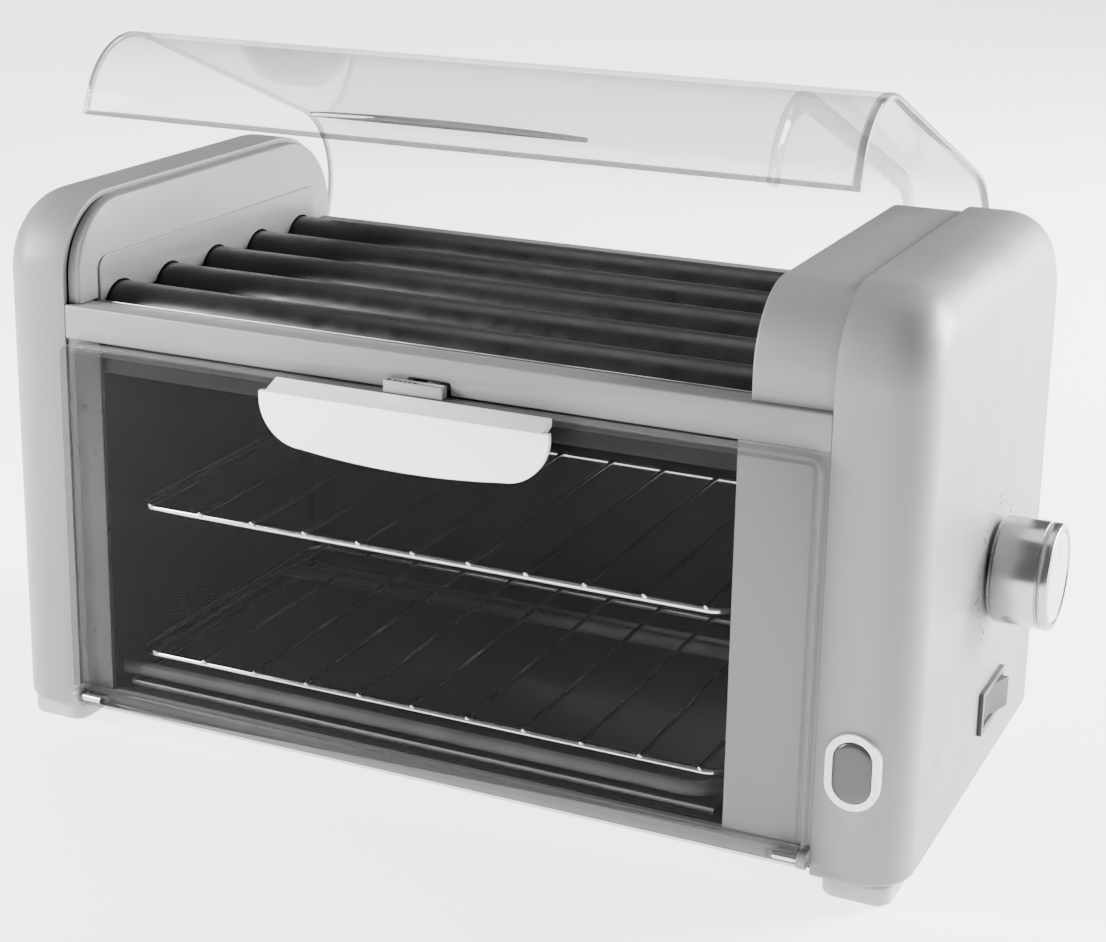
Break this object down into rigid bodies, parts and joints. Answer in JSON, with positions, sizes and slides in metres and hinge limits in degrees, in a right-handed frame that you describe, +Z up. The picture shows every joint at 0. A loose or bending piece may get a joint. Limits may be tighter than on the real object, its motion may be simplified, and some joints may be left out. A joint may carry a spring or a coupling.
{
  "type": "hot dog roller grill",
  "caption": "Countertop hot dog roller grill with clear hinged lid, bun oven with drop-down clear door, wire racks, timer knob and rocker switch.",
  "frame": {"origin": "centre of the whole footprint at rest, knob, door handle and open lid included, on the surface that the feet stand on", "axes": "+X to the right along the rollers, -Y to the front where the door is, +Z up"},
  "size_m": [0.451, 0.2474, 0.3133],
  "materials": {
    "body_plastic": "fine satin grain",
    "steel_sheet": "brushed sheet",
    "white_nylon": "moulded",
    "chrome_wire": "bright plated",
    "black_enamel": "dark enamel",
    "foot_rubber": "matte",
    "heater_sheath": "oxidised sheath",
    "ceramic": "glazed ceramic",
    "dark_plastic": "satin",
    "trim_ring": "satin gloss",
    "lens": "translucent",
    "clear_door": "clear polished",
    "clear_lid": "clear polished",
    "handle_gloss": "polished",
    "latch_plastic": "satin",
    "knob_metal": "brushed round",
    "knob_face": "satin",
    "roller_coat": "non-stick coat"
  },
  "bodies": {
    "chassis": {"left_shell": "body_plastic", "right_shell": "body_plastic", "left_liner": "body_plastic", "left_bearing_panel": "body_plastic", "left_side_frame": "steel_sheet", "motor_cover": "body_plastic", "gear_side_frame": "steel_sheet", "roller_bushes": "white_nylon", "idler_pins": "steel_sheet", "front_rail": "body_plastic", "rear_rail": "body_plastic", "lid_hinge_pins": "chrome_wire", "lower_sill": "body_plastic", "control_front_panel": "body_plastic", "oven_surround": "body_plastic", "oven_cavity": "black_enamel", "drip_tray": "steel_sheet", "back_panel": "body_plastic", "back_screws": "chrome_wire", "base_plate": "steel_sheet", "feet": "foot_rubber", "crumb_tray": "steel_sheet", "heater_lower": "heater_sheath", "rack_lower": "chrome_wire", "rack_upper": "chrome_wire", "rack_ledges": "black_enamel", "roller_heaters": "ceramic", "drive_motor": "steel_sheet", "motor_screws": "chrome_wire", "timer_body": "dark_plastic", "switch_housing": "dark_plastic", "indicator_bezel": "trim_ring", "indicator_lens": "lens", "cord_gland": "dark_plastic", "door_hinge_pins": "chrome_wire"},
    "lid": {"lid": "clear_lid"},
    "door": {"door_panel": "clear_door", "door_handle": "handle_gloss", "handle_screws": "chrome_wire", "door_latch": "latch_plastic"},
    "knob": {"timer_knob": "knob_metal", "knob_face": "knob_face", "timer_shaft": "chrome_wire"},
    "rocker": {"rocker_paddle": "dark_plastic"},
    "roller_1": {"roller_1": "roller_coat", "roller_gear_1": "white_nylon"},
    "roller_2": {"roller_2": "roller_coat", "roller_gear_2": "white_nylon"},
    "roller_3": {"roller_3": "roller_coat", "roller_gear_3": "white_nylon"},
    "roller_4": {"roller_4": "roller_coat", "roller_gear_4": "white_nylon"},
    "roller_5": {"roller_5": "roller_coat", "roller_gear_5": "white_nylon"},
    "idler_1": {"idler_gear_1": "white_nylon"},
    "idler_2": {"idler_gear_2": "white_nylon"},
    "idler_3": {"idler_gear_3": "white_nylon"},
    "idler_4": {"idler_gear_4": "white_nylon"},
    "pinion": {"motor_pinion": "white_nylon"}
  },
  "joints": [
    {"name": "lid_hinge", "type": "hinge", "parent": "chassis", "child": "lid", "pos_m": [-0.0135, 0.11678, 0.192], "axis": [-1, 0, 0], "range_deg": [-21.3, 69]},
    {"name": "door_hinge", "type": "hinge", "parent": "chassis", "child": "door", "pos_m": [-0.0135, -0.11072, 0.0175], "axis": [1, 0, 0], "range_deg": [0, 90]},
    {"name": "knob_turn", "type": "hinge", "parent": "chassis", "child": "knob", "pos_m": [0.1985, 0.01708, 0.1044], "axis": [-1, 0, 0], "range_deg": [0, 300]},
    {"name": "rocker_tilt", "type": "hinge", "parent": "chassis", "child": "rocker", "pos_m": [0.196, 0.02318, 0.0407], "axis": [0, 0, 1], "range_deg": [0, 20]},
    {"name": "roller_1_spin", "type": "hinge", "parent": "chassis", "child": "roller_1", "pos_m": [-0.0135, -0.07342, 0.1926], "axis": [1, 0, 0], "continuous": true},
    {"name": "roller_2_spin", "type": "hinge", "parent": "chassis", "child": "roller_2", "pos_m": [-0.0135, -0.03432, 0.1926], "axis": [1, 0, 0], "continuous": true},
    {"name": "roller_3_spin", "type": "hinge", "parent": "chassis", "child": "roller_3", "pos_m": [-0.0135, 0.00478, 0.1926], "axis": [1, 0, 0], "continuous": true},
    {"name": "roller_4_spin", "type": "hinge", "parent": "chassis", "child": "roller_4", "pos_m": [-0.0135, 0.04388, 0.1926], "axis": [1, 0, 0], "continuous": true},
    {"name": "roller_5_spin", "type": "hinge", "parent": "chassis", "child": "roller_5", "pos_m": [-0.0135, 0.08298, 0.1926], "axis": [1, 0, 0], "continuous": true},
    {"name": "idler_1_spin", "type": "hinge", "parent": "chassis", "child": "idler_1", "pos_m": [0.1354, -0.05387, 0.17878], "axis": [1, 0, 0], "continuous": true},
    {"name": "idler_2_spin", "type": "hinge", "parent": "chassis", "child": "idler_2", "pos_m": [0.1354, -0.01477, 0.17878], "axis": [1, 0, 0], "continuous": true},
    {"name": "idler_3_spin", "type": "hinge", "parent": "chassis", "child": "idler_3", "pos_m": [0.1354, 0.02433, 0.17878], "axis": [1, 0, 0], "continuous": true},
    {"name": "idler_4_spin", "type": "hinge", "parent": "chassis", "child": "idler_4", "pos_m": [0.1354, 0.06343, 0.17878], "axis": [1, 0, 0], "continuous": true},
    {"name": "pinion_spin", "type": "hinge", "parent": "chassis", "child": "pinion", "pos_m": [0.1354, -0.01477, 0.15843], "axis": [1, 0, 0], "continuous": true}
  ],
  "couplings": [
    {"joint": "roller_2_spin", "follows": "roller_1_spin", "ratio": 1},
    {"joint": "roller_3_spin", "follows": "roller_1_spin", "ratio": 1},
    {"joint": "roller_4_spin", "follows": "roller_1_spin", "ratio": 1},
    {"joint": "roller_5_spin", "follows": "roller_1_spin", "ratio": 1},
    {"joint": "idler_1_spin", "follows": "roller_1_spin", "ratio": -1},
    {"joint": "idler_2_spin", "follows": "roller_1_spin", "ratio": -1},
    {"joint": "idler_3_spin", "follows": "roller_1_spin", "ratio": -1},
    {"joint": "idler_4_spin", "follows": "roller_1_spin", "ratio": -1},
    {"joint": "pinion_spin", "follows": "roller_1_spin", "ratio": 1.4286}
  ]
}
